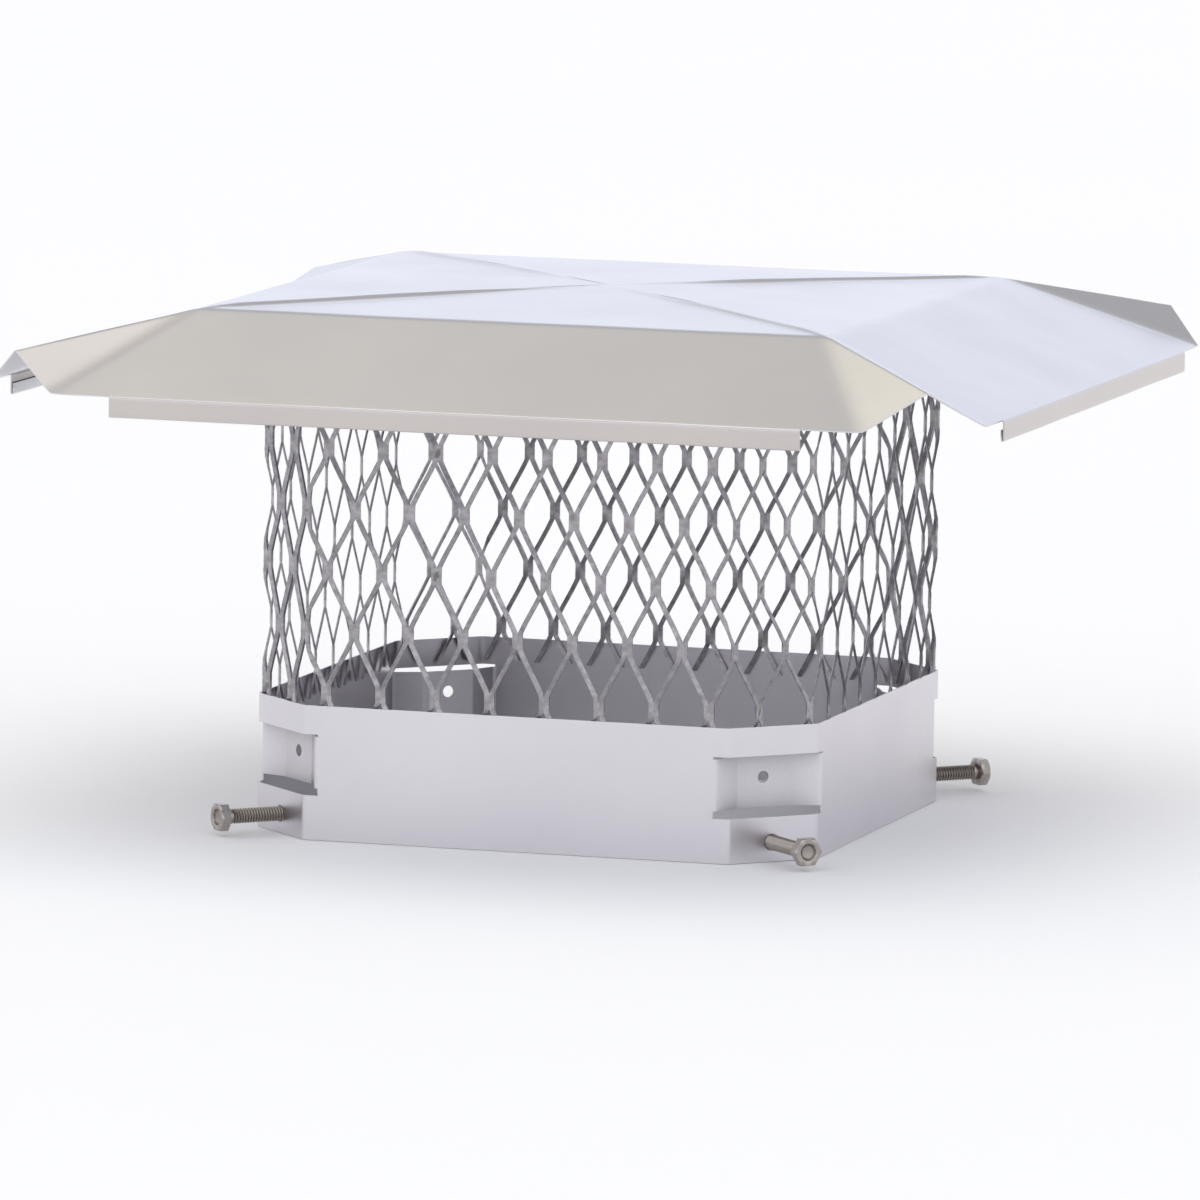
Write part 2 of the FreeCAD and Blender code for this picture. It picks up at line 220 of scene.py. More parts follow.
def linear(code: str) -> Tone:
    """Turn an sRGB hex colour into a linear one.

    Args:
        code: Hash sign and six hex digits.

    Returns:
        Linear red, green and blue, and full alpha.
    """
    levels = np.array([int(code[at:at + 2], 16) for at in (1, 3, 5)]) / 255
    bent = np.where(levels <= 0.04045, levels / 12.92, ((levels + 0.055) / 1.055) ** 2.4)
    return (*bent.tolist(), 1.0)


def add_node(
    tree: bpy.types.NodeTree,
    kind: str,
    settings: dict[str, Any] | None = None,
    inputs: dict[str | int, Any] | None = None,
) -> bpy.types.Node:
    """Add one node with its settings, and set or link its inputs.

    Args:
        tree: Node tree that gets the node.
        kind: Blender's name for the node's type.
        settings: Properties of the node itself.
        inputs: Values or output sockets, by the input's name or number.

    Returns:
        The new node.
    """
    node = tree.nodes.new(kind)
    for name, value in (settings or {}).items():
        setattr(node, name, value)
    for name, value in (inputs or {}).items():
        if isinstance(value, bpy.types.NodeSocket):
            tree.links.new(value, node.inputs[name])
        else:
            node.inputs[name].default_value = value
    return node


def fresh_material(
    name: str,
) -> tuple[bpy.types.Material, bpy.types.NodeTree, bpy.types.NodeSocket]:
    """Make a material with nothing but a piece's own coordinates in it.

    Args:
        name: Name of the new material.

    Returns:
        The material, its node tree and the socket of the coordinates.
    """
    material = bpy.data.materials.new(name)
    material.use_nodes = True
    tree = material.node_tree
    tree.nodes.clear()
    return material, tree, add_node(tree, "ShaderNodeTexCoord").outputs["Object"]


def finish_with(tree: bpy.types.NodeTree, inputs: dict[str | int, Any]) -> None:
    """Close a material with its surface shader and output."""
    shader = add_node(tree, "ShaderNodeBsdfPrincipled", inputs=inputs)
    add_node(tree, "ShaderNodeOutputMaterial", inputs={"Surface": shader.outputs["BSDF"]})


def finish_metal(
    tree: bpy.types.NodeTree,
    colour: bpy.types.Node,
    rough: bpy.types.Node,
    relief: bpy.types.Node,
    strength: float,
    depth: float,
) -> None:
    """Close a metal with its relief, surface shader and output.

    Args:
        tree: Node tree of the material.
        colour: Mixing node that gives the colour.
        rough: Adding node that gives the roughness.
        relief: Noise node that gives the relief.
        strength: How much of the relief shows, from 0 to 1.
        depth: The relief's depth in mm.
    """
    bump = add_node(
        tree, "ShaderNodeBump",
        inputs={"Strength": strength, "Distance": depth * MM, "Height": relief.outputs["Fac"]},
    )
    finish_with(tree, {
        "Base Color": colour.outputs[MIX_RESULT],
        "Metallic": 1.0,
        "Roughness": rough.outputs["Value"],
        "Normal": bump.outputs["Normal"],
    })


class Grain(Enum):
    """Ways that the rolling grain of a sheet runs: length of a streak in mm along X, Y and Z."""

    ALONG_WIDTH = (90.0, 0.9, 0.9)
    ROUND_THE_BAND = (90.0, 90.0, 0.8)


@dataclass(frozen=True)
class MillSheet:
    """Cold-rolled stainless sheet with a bright mill finish.

    It mirrors its surroundings softly, with faint streaks from the rolls, a few dull
    patches and hairline marks from handling, painted shade that darkens its nooks where
    ambient occlusion finds other surfaces close by, and a painted warm reflection on the
    turn into the lid's lip, as far as the piece's attribute for it says.
    """

    name: str
    face: str
    shade: str
    grain: Grain
    roughness: float = 0.165
    patch_dulling: float = 0.04
    patch_size: float = 70.0
    patch_range: tuple[float, float] = (0.3, 0.7)
    streak_dulling: float = 0.04
    streak_strength: float = 0.5
    streak_depth: float = 0.007
    scratch_dulling: float = 0.01
    scratch_length: float = 26.0
    scratch_width: float = 1.0
    scratch_turn: tuple[float, float, float] = (0.3, 0.2, 0.9)
    scratch_range: tuple[float, float] = (0.70, 0.76)
    # The nook fields set the painted shade in recesses: its reach, where it starts, its darkest
    # tone and its samples
    nook_reach: float = 30.0
    nook_open: float = 0.5
    nook_shade: float = 0.45
    nook_samples: int = 6
    # Warm tint of the painted reflection on the lid's lip
    painted_lip_reflection: str = "#F1E8DF"

    def build(self) -> bpy.types.Material:
        """Build the finish on the piece's own coordinates.

        Returns:
            The finished material.
        """
        material, tree, place = fresh_material(self.name)
        # Real rolling streaks are about 0.1 mm apart; they are drawn coarser so that they show
        stretch = tuple(1 / (length * MM) for length in self.grain.value)
        along = add_node(tree, "ShaderNodeMapping", inputs={"Vector": place, "Scale": stretch})
        streak = add_node(tree, "ShaderNodeTexNoise", inputs={
            "Vector": along.outputs["Vector"], "Scale": 1.0, "Detail": 3.0, "Roughness": 0.6,
        })
        patch = add_node(tree, "ShaderNodeTexNoise", inputs={
            "Vector": place, "Scale": 1 / (self.patch_size * MM), "Detail": 4.0, "Roughness": 0.55,
        })
        slimness = self.scratch_length / self.scratch_width
        slant = add_node(tree, "ShaderNodeMapping", inputs={
            "Vector": place, "Rotation": self.scratch_turn, "Scale": (1.0, slimness, slimness),
        })
        scratch = add_node(tree, "ShaderNodeTexNoise", inputs={
            "Vector": slant.outputs["Vector"],
            "Scale": 1 / (self.scratch_length * MM), "Detail": 1.0,
        })
        hairline = add_node(tree, "ShaderNodeMapRange", inputs={
            "Value": scratch.outputs["Fac"],
            "From Min": self.scratch_range[0], "From Max": self.scratch_range[1],
        })
        colour = add_node(tree, "ShaderNodeMix", {"data_type": "RGBA"}, {
            MIX_SHARE: patch.outputs["Fac"],
            MIX_FIRST: linear(self.face), MIX_SECOND: linear(self.shade),
        })
        # Painted shade: the colour is darkened where ambient occlusion finds nearby surfaces, so
        # nooks and recesses look shaded
        nook = add_node(
            tree, "ShaderNodeAmbientOcclusion",
            {"samples": self.nook_samples, "only_local": True},
            {"Distance": self.nook_reach * MM},
        )
        film_and_painted_shade = add_node(tree, "ShaderNodeMapRange", inputs={
            "Value": nook.outputs["AO"], "From Min": self.nook_open, "To Min": self.nook_shade,
        })
        nook_shaded = add_node(tree, "ShaderNodeMix", {"data_type": "RGBA", "blend_type": "MULTIPLY"}, {
            MIX_SHARE: 1.0,
            MIX_FIRST: colour.outputs[MIX_RESULT], MIX_SECOND: film_and_painted_shade.outputs["Result"],
        })
        # Painted reflection: the turn into the lid's lip is tinted warm, as if it mirrored warm
        # surroundings in front of it
        painted_reflection_share = add_node(tree, "ShaderNodeAttribute", {"attribute_name": "painted_reflection_share"})
        reflection_tinted = add_node(
            tree, "ShaderNodeMix", {"data_type": "RGBA", "blend_type": "MULTIPLY"},
            {
                MIX_SHARE: painted_reflection_share.outputs["Fac"],
                MIX_FIRST: nook_shaded.outputs[MIX_RESULT], MIX_SECOND: linear(self.painted_lip_reflection),
            },
        )
        rough_patch = add_node(tree, "ShaderNodeMapRange", inputs={
            "Value": patch.outputs["Fac"],
            "From Min": self.patch_range[0], "From Max": self.patch_range[1],
            "To Min": self.roughness, "To Max": self.roughness + self.patch_dulling,
        })
        rough_streak = add_node(tree, "ShaderNodeMath", {"operation": "MULTIPLY_ADD"}, {
            VALUE: streak.outputs["Fac"], FACTOR: self.streak_dulling,
            ADDEND: rough_patch.outputs["Result"],
        })
        rough = add_node(tree, "ShaderNodeMath", {"operation": "MULTIPLY_ADD"}, {
            VALUE: hairline.outputs["Result"], FACTOR: self.scratch_dulling,
            ADDEND: rough_streak.outputs["Value"],
        })
        finish_metal(tree, reflection_tinted, rough, streak, self.streak_strength, self.streak_depth)
        return material


@dataclass(frozen=True)
class ShearedStrand:
    """Expanded stainless: slit and stretched strands, duller than the sheet that they came from.

    Pale and grey tones change at random in a fine mottle, and the grey parts are rougher.
    """

    name: str
    face: str
    shade: str
    roughness: float = 0.24
    dulling: float = 0.25
    mottle_size: float = 3.0
    mottle_range: tuple[float, float] = (0.35, 0.7)
    relief_strength: float = 0.6
    relief_depth: float = 0.05

    def build(self) -> bpy.types.Material:
        """Build the finish on the piece's own coordinates.

        Returns:
            The finished material.
        """
        material, tree, place = fresh_material(self.name)
        mottle = add_node(tree, "ShaderNodeTexNoise", inputs={
            "Vector": place,
            "Scale": 1 / (self.mottle_size * MM), "Detail": 5.0, "Roughness": 0.65,
        })
        spots = add_node(tree, "ShaderNodeMapRange", inputs={
            "Value": mottle.outputs["Fac"],
            "From Min": self.mottle_range[0], "From Max": self.mottle_range[1],
        })
        colour = add_node(tree, "ShaderNodeMix", {"data_type": "RGBA"}, {
            MIX_SHARE: spots.outputs["Result"],
            MIX_FIRST: linear(self.face), MIX_SECOND: linear(self.shade),
        })
        rough = add_node(
            tree, "ShaderNodeMath", {"operation": "MULTIPLY_ADD"},
            {VALUE: mottle.outputs["Fac"], FACTOR: self.dulling, ADDEND: self.roughness},
        )
        finish_metal(tree, colour, rough, mottle, self.relief_strength, self.relief_depth)
        return material


@dataclass(frozen=True)
class TurnedSteel:
    """Cold-headed stainless bolt: satin metal with a brownish film in its thread and dish."""

    name: str
    face: str
    film_and_painted_shade: str
    roughness: float = 0.24
    dulling: float = 0.22
    pitting_size: float = 1.2
    pitting_share: float = 0.4
    pitting_strength: float = 0.4
    pitting_depth: float = 0.02

    def build(self) -> bpy.types.Material:
        """Build the finish, with the film as deep as the piece's groove attribute says.

        Returns:
            The finished material.
        """
        material, tree, place = fresh_material(self.name)
        pits = add_node(
            tree, "ShaderNodeTexNoise",
            inputs={"Vector": place, "Scale": 1 / (self.pitting_size * MM), "Detail": 4.0},
        )
        groove = add_node(tree, "ShaderNodeAttribute", {"attribute_name": "groove"})
        dirt = add_node(tree, "ShaderNodeMath", {"operation": "MULTIPLY_ADD", "use_clamp": True}, {
            VALUE: pits.outputs["Fac"], FACTOR: self.pitting_share, ADDEND: groove.outputs["Fac"],
        })
        colour = add_node(tree, "ShaderNodeMix", {"data_type": "RGBA"}, {
            MIX_SHARE: dirt.outputs["Value"],
            MIX_FIRST: linear(self.face), MIX_SECOND: linear(self.film_and_painted_shade),
        })
        rough = add_node(
            tree, "ShaderNodeMath", {"operation": "MULTIPLY_ADD"},
            {VALUE: dirt.outputs["Value"], FACTOR: self.dulling, ADDEND: self.roughness},
        )
        finish_metal(tree, colour, rough, pits, self.pitting_strength, self.pitting_depth)
        return material


@dataclass(frozen=True)
class PaleFloor:
    """Matt white studio floor, with only a trace of unevenness."""

    name: str = "studio_white"
    face: str = "#FAFAFC"
    shade: str = "#F7F8FA"
    drift_scale: float = 0.8

    def build(self) -> bpy.types.Material:
        """Build the finish.

        Returns:
            The finished material.
        """
        material, tree, place = fresh_material(self.name)
        drift = add_node(
            tree, "ShaderNodeTexNoise",
            inputs={"Vector": place, "Scale": self.drift_scale, "Detail": 2.0},
        )
        colour = add_node(tree, "ShaderNodeMix", {"data_type": "RGBA"}, {
            MIX_SHARE: drift.outputs["Fac"],
            MIX_FIRST: linear(self.face), MIX_SECOND: linear(self.shade),
        })
        finish_with(tree, {"Base Color": colour.outputs[MIX_RESULT], "Roughness": 0.9})
        return material


def finish_piece(thing: bpy.types.Object, material: bpy.types.Material) -> None:
    """Give a piece its material, in place of any that it had.

    Args:
        thing: The piece.
        material: Its only material.
    """
    thing.data.materials.clear()
    thing.data.materials.append(material)


# Pieces

@dataclass
class Lid:
    """Folded lid: cross-broken middle, four flaps, four raised pleats, four hemmed lips."""

    gauge: float = 0.6
    height: float = 220.5
    half_flat: float = 135.0
    rise: float = 3.2
    flap_length: float = 83.0
    flap_angle: float = 21.0
    pleat_width: float = 37.0
    lip_drop: float = 8.5
    lip_half: float = 146.0
    lip_radius: float = 1.3
    hem_radius: float = 0.75
    hem_length: float = 4.0
    fold_blend: float = 1.3
    break_blend: float = 2.5
    break_bead: float = 1.2
    break_width: float = 3.0
    bead_fade: float = 12.0
    wave: float = 0.1
    wave_straight: tuple[float, float] = (21.0, 27.0)
    wave_slanted: tuple[float, float] = (33.0, 17.0)
    wave_phases: tuple[float, float, float] = (0.6, 1.1, 2.0)
    slanted_share: float = 0.7
    flap_spacing: float = 6.5
    middle_spacing: float = 7.0
    pleat_spacing: float = 3.5
    lip_steps: tuple[int, int, int] = (7, 6, 9)
    sharp_degrees: float = 40.0

    def __post_init__(self) -> None:
        """Work out the flap, and the pleat's ridge as the sheet folds without stretching.

        The flap's side, the pleat's half and the quarter turn at the corner are fixed
        angles on the flat sheet; the ridge's fall is the one at which they still add up.
        """
        fall = math.radians(self.flap_angle)
        self.slope = math.tan(fall)
        self.out = self.flap_length * math.cos(fall)
        self.down = self.flap_length * math.sin(fall)
        crease = math.atan(self.pleat_width / self.flap_length)
        level = (math.sin(crease) + math.cos(crease) * math.cos(fall)) / math.sqrt(2)
        sunk = math.cos(crease) * math.sin(fall)
        spread = math.cos(math.radians(45) - crease)
        ridge_fall = math.atan2(sunk, level) - math.acos(spread / math.hypot(level, sunk))
        ridge = (self.pleat_width + self.flap_length) / math.sqrt(2)
        self.ridge_out = ridge * math.cos(ridge_fall) / math.sqrt(2)
        self.ridge_down = ridge * math.sin(ridge_fall)

    def surface_height(self, x: Array, y: Array) -> Array:
        """Return the height of the lid's outer face over a point of its plan.

        The middle is a very flat pyramid. Outside it each side is the higher of its flap
        and its half of the pleat, which makes the valley crease, and the lower of the two
        sides makes the pleat's ridge. Every fold is rounded. The cross breaks carry a
        small bead, a bell curve across the diagonal, which stays under the middle's peak
        and fades out at its ends, and the sheet has a slow waviness.

        Args:
            x: Distances to the right.
            y: Distances to the back.

        Returns:
            Heights in millimetres.
        """
        side, front = np.abs(x), np.abs(y)
        pleat = np.linalg.solve(
            [[self.pleat_width, self.out], [self.ridge_out, self.ridge_out]],
            [self.down, self.ridge_down],
        )
        past_side, past_front = side - self.half_flat, front - self.half_flat
        far = soft_most(side, front, self.break_blend)
        middle = self.height + self.rise * (1 - far / self.half_flat)
        across = (side - front) / math.sqrt(2)
        to_edge = np.clip((self.half_flat - far) / self.bead_fade, 0, 1)
        inside = to_edge * np.clip(far / self.bead_fade, 0, 1)
        room = self.height + self.rise - middle
        bead = np.minimum(self.break_bead * inside, room)
        middle = middle + bead * np.exp(-(across / self.break_width) ** 2)
        halves = []
        for past, past_other in ((past_front, past_side), (past_side, past_front)):
            flap = self.height - self.slope * past
            tuck = self.height - pleat[0] * past_other - pleat[1] * past
            halves.append(soft_most(flap, tuck, self.fold_blend))
        folded = soft_least(halves[0], halves[1], self.fold_blend)
        return soft_least(middle, folded, self.fold_blend) + self.waviness(x, y)

    def waviness(self, x: Array, y: Array) -> Array:
        """Return how far the sheet sags at a point of its plan, which is never above zero.

        It is the product of two sines along X and Y plus a share of the product of two
        along the diagonals, less the most that this sum can reach.

        Args:
            x: Distances to the right.
            y: Distances to the back.

        Returns:
            Heights in millimetres to add to the lid's outer face.
        """
        first, second, third = self.wave_phases
        straight = (
            np.sin(x / self.wave_straight[0] + first) * np.sin(y / self.wave_straight[1] + second)
        )
        slanted = (
            np.sin((x + y) / self.wave_slanted[0] + third) * np.sin((x - y) / self.wave_slanted[1])
        )
        most = 1 + self.slanted_share
        return self.wave * (straight + self.slanted_share * slanted - most)

    def lip_profile(self) -> Array:
        """Draw the lip's outer face from the flap down to the end of its hem.

        It is an arc from the flap's slope to plumb, a straight drop, a half circle inwards
        and a short run back up.

        Returns:
            For each point its distance out from the flap's edge and its height over it.
        """
        arc_steps, drop_steps, hem_steps = self.lip_steps
        fall = math.radians(self.flap_angle)
        tangent = self.lip_radius * math.tan((math.pi / 2 - fall) / 2)
        turn = np.linspace(math.pi / 2 - fall, 0, arc_steps)
        arc = self.lip_radius * np.stack([np.cos(turn) - 1, np.sin(turn)], axis=-1)
        arc = arc - [0, tangent]
        foot = self.hem_radius - self.lip_drop
        fallen = np.linspace(-tangent, foot, drop_steps)[1:-1]
        drop = np.stack([np.zeros(len(fallen)), fallen], axis=-1)
        bend = np.linspace(0, -math.pi, hem_steps)
        hem = self.hem_radius * np.stack([np.cos(bend) - 1, np.sin(bend)], axis=-1) + [0, foot]
        back = np.array([[-2 * self.hem_radius, foot + self.hem_length]])
        return np.concatenate([arc, drop, hem, back])

    def quarter(self) -> list[Array]:
        """Lay out the front quarter, whose grids meet point to point along the folds.

        Returns:
            Grids of the middle, the flap, the two half pleats and the lip.
        """
        profile = self.lip_profile()
        reach = 1 + profile[0, 0] / self.out
        lip_share = self.lip_half / (self.half_flat + self.pleat_width * reach)
        base = spread_stations(2 * self.half_flat, self.flap_spacing, True, True) - self.half_flat
        share = np.append(base / self.half_flat, [-lip_share, lip_share])
        share = np.unique(np.round(share, 9))

        inner = spread_stations(self.half_flat, self.middle_spacing, False, True)[:, None]
        slope = spread_stations(self.flap_length, self.flap_spacing, True, False)[:, None]
        down_slope = slope / self.flap_length * reach
        flap_y = -self.half_flat - self.out * down_slope
        flap_x = (self.half_flat + self.pleat_width * down_slope) * share

        edge = math.hypot(self.ridge_out - self.pleat_width, self.ridge_out - self.out)
        to_ridge = spread_stations(edge, self.pleat_spacing, True, True) / edge
        pleat_x = self.pleat_width + (self.ridge_out - self.pleat_width) * to_ridge
        pleat_y = self.out + (self.ridge_out - self.out) * to_ridge
        right_x = self.half_flat + down_slope * pleat_x
        right_y = -self.half_flat - down_slope * pleat_y

        grids = []
        for x, y in (
            (inner * share, -inner),
            (flap_x, flap_y),
            (right_x, right_y),
            (-right_x[:, ::-1], right_y[:, ::-1]),
        ):
            x, y = np.broadcast_arrays(x, y)
            grids.append(np.stack([x, y, self.surface_height(x, y)], axis=-1))

        # The shares were rounded, so the lip's ends are found with a little slack
        held = np.abs(share) <= lip_share + 1e-6
        lip_y = -(self.half_flat + self.out + profile[:, :1])
        lip_z = grids[1][-1, held, 2] + (profile[:, 1:] - profile[0, 1])
        lip = np.broadcast_arrays(flap_x[-1, held], lip_y, lip_z)
        grids.append(np.stack(lip, axis=-1))
        return grids

    def build(self) -> bpy.types.Object:
        """Weld four turned quarters together and give the sheet its thickness.

        Returns:
            The lid.
        """
        surface = Surface()
        for turn in range(4):
            angle = turn * math.pi / 2
            spin = np.array([
                [math.cos(angle), math.sin(angle), 0],
                [-math.sin(angle), math.cos(angle), 0],
                [0, 0, 1],
            ])
            for grid in self.quarter():
                surface.add_grid(grid @ spin, flip=True)
        lid = surface.to_object("folded_lid", self.sharp_degrees)
        self.mark_lip_reflection_mask(lid)
        thicken = lid.modifiers.new("sheet_gauge", "SOLIDIFY")
        thicken.thickness = self.gauge * MM
        thicken.offset = -1
        return lid

    def mark_lip_reflection_mask(self, lid: bpy.types.Object) -> None:
        """Store on each vertex how far down the turn into a lip it lies, which masks the lip's
        painted warm reflection.

        The share rises from 0 at the flap's end to 1 on the lip's upright face.

        Args:
            lid: The joined lid.
        """
        mesh = lid.data
        places = np.empty(len(mesh.vertices) * 3)
        mesh.vertices.foreach_get("co", places)
        reach = np.abs(places.reshape(-1, 3)[:, :2]).max(axis=1) / MM
        start = self.lip_radius * (1 - math.sin(math.radians(self.flap_angle)))
        share = np.clip(1 + (reach - self.half_flat - self.out) / start, 0, 1)
        marks = mesh.attributes.new("painted_reflection_share", "FLOAT", "POINT")
        marks.data.foreach_set("value", share.astype(np.float32))

    def dress(self, lid: bpy.types.Object, finish: MillSheet) -> None:
        """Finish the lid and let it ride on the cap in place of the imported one.

        Args:
            lid: The built lid.
            finish: Finish of its sheet.
        """
        finish_piece(lid, finish.build())
        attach(lid, "cap")
        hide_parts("lid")
        LOG.info("lid: %d faces", len(lid.data.polygons))


@dataclass
class Screen:
    """Expanded-metal screen: zigzag strands that meet in bonds, bent round eight sides."""

    columns: int = 38
    half: float = 120.6
    leg: float = 29.47
    bend_radius: float = 3.2
    bottom: float = 46.0
    top: float = 220.0
    first_row: float = 61.5
    # Number of the first row and of the one past the last
    rows: tuple[int, int] = (-1, 8)
    row_step: float = 25.4
    end_margin: float = 0.5
    bond_length: float = 6.5
    strand_width: float = 1.9
    strand_thick: float = 0.9
    # Shares of a slant at which a strand gets a section
    slant_cuts: tuple[float, ...] = (0.0, 0.07, 0.28, 0.5, 0.72, 0.93)
    straightness: float = 0.85
    tilt: float = 24.0
    bend_degrees: float = 45.0
    sharp_degrees: float = 32.0

    def __post_init__(self) -> None:
        """Lay out the eight sides of the path."""
        lengths = np.array([2 * (self.half - self.leg), self.leg * math.sqrt(2)] * 4)
        self.bends = np.concatenate([[0], np.cumsum(lengths)])
        self.headings = np.radians(np.arange(len(lengths)) * self.bend_degrees)
        self.half_turn = math.radians(self.bend_degrees / 2)
        ways = np.stack([np.cos(self.headings), np.sin(self.headings)], axis=-1)
        steps = lengths[:, None] * ways
        start = np.array([self.leg - self.half, -self.half])
        self.corners = start + np.concatenate([[[0, 0]], np.cumsum(steps, axis=0)[:-1]])

    def wrap(self, along: Array, depth: Array) -> tuple[Array, Array]:
        """Bend the flat sheet round the screen's path.

        On a side a point keeps its distance along it. Near a bend the distance becomes an
        angle on an arc that touches both sides, and the depth is taken off its radius.

        Args:
            along: Distance along the sheet from the front face's left end.
            depth: Distance in from the outer face.

        Returns:
            The plan's x and y.
        """
        along = np.mod(along, self.bends[-1])
        side = np.searchsorted(self.bends, along, side="right") - 1
        side = np.clip(side, 0, len(self.headings) - 1)
        run = along - self.bends[side]
        length = self.bends[side + 1] - self.bends[side]
        touch = self.bend_radius * math.tan(self.half_turn)
        held = np.clip(run, touch, length - touch)
        heading = self.headings[side]
        facing = heading - math.pi / 2 + self.half_turn * (run - held) / touch
        reach = self.bend_radius - depth
        x = (
            self.corners[side, 0] + np.cos(heading) * held
            - np.sin(heading) * self.bend_radius + np.cos(facing) * reach
        )
        y = (
            self.corners[side, 1] + np.sin(heading) * held
            + np.cos(heading) * self.bend_radius + np.sin(facing) * reach
        )
        return x, y

    def levels(self) -> Array:
        """Place the sections of the strands: two on each bond and more along each slant.

        Returns:
            Rising heights from the screen's foot to its top.
        """
        half_bond = self.bond_length / 2
        slant = self.row_step - self.bond_length
        offsets = np.concatenate([
            [-half_bond, 0.0], half_bond + slant * np.array(self.slant_cuts),
        ])
        rows = np.arange(*self.rows)[:, None]
        heights = (self.first_row + rows * self.row_step + offsets).ravel()
        above = heights > self.bottom + self.end_margin
        heights = heights[above & (heights < self.top - self.end_margin)]
        return np.concatenate([[self.bottom], heights, [self.top]])

    def build(self) -> bpy.types.Object:
        """Build every strand of the screen at once.

        Each strand swings between the bonds of two neighbouring columns: it stays beside
        a bond for the bond's length and crosses to the other column on the way to the
        next row, nearly straight with a little easing at both ends. The sheet is tilted
        like a louvre, so a strand lies deeper on one side of a bond than on the other.

        Returns:
            The screen.
        """
        heights = self.levels()
        strand = np.arange(2 * self.columns)[:, None]
        pitch = self.bends[-1] / self.columns
        middle = (self.bends[0] + self.bends[1]) / 2
        left = middle + strand * pitch / 2
        phase = (heights - self.first_row) / self.row_step + strand + 1
        away = np.abs(np.mod(phase + 1, 2) - 1) * self.row_step
        swing = (away - self.bond_length / 2) / (self.row_step - self.bond_length)
        swing = np.clip(swing, 0, 1)
        eased = swing * swing * (3 - 2 * swing)
        swing = self.straightness * swing + (1 - self.straightness) * eased
        half_width = self.strand_width / 2
        along = left + half_width + swing * (pitch / 2 - 2 * half_width)
        lean = math.tan(math.radians(self.tilt))
        mid_depth = 2 * half_width * lean + self.strand_thick / 2
        depth = mid_depth + half_width * lean * (1 - 2 * swing)

        across = np.array([-1, 1, 1, -1]) * half_width
        through = np.array([-1, -1, 1, 1]) * self.strand_thick / 2
        x, y = self.wrap(along[..., None] + across, depth[..., None] + across * lean + through)
        z = np.broadcast_to(heights[:, None], x.shape)
        surface = Surface()
        surface.add_bars(np.stack([x, y, z], axis=-1))
        return surface.to_object("expanded_screen", self.sharp_degrees)

    def dress(self, screen: bpy.types.Object, finish: ShearedStrand) -> None:
        """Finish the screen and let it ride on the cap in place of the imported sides.

        Args:
            screen: The built screen.
            finish: Finish of its strands.
        """
        finish_piece(screen, finish.build())
        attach(screen, "cap")
        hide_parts(*[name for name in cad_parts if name.startswith("screen")])
        LOG.info("screen: %d faces", len(screen.data.polygons))


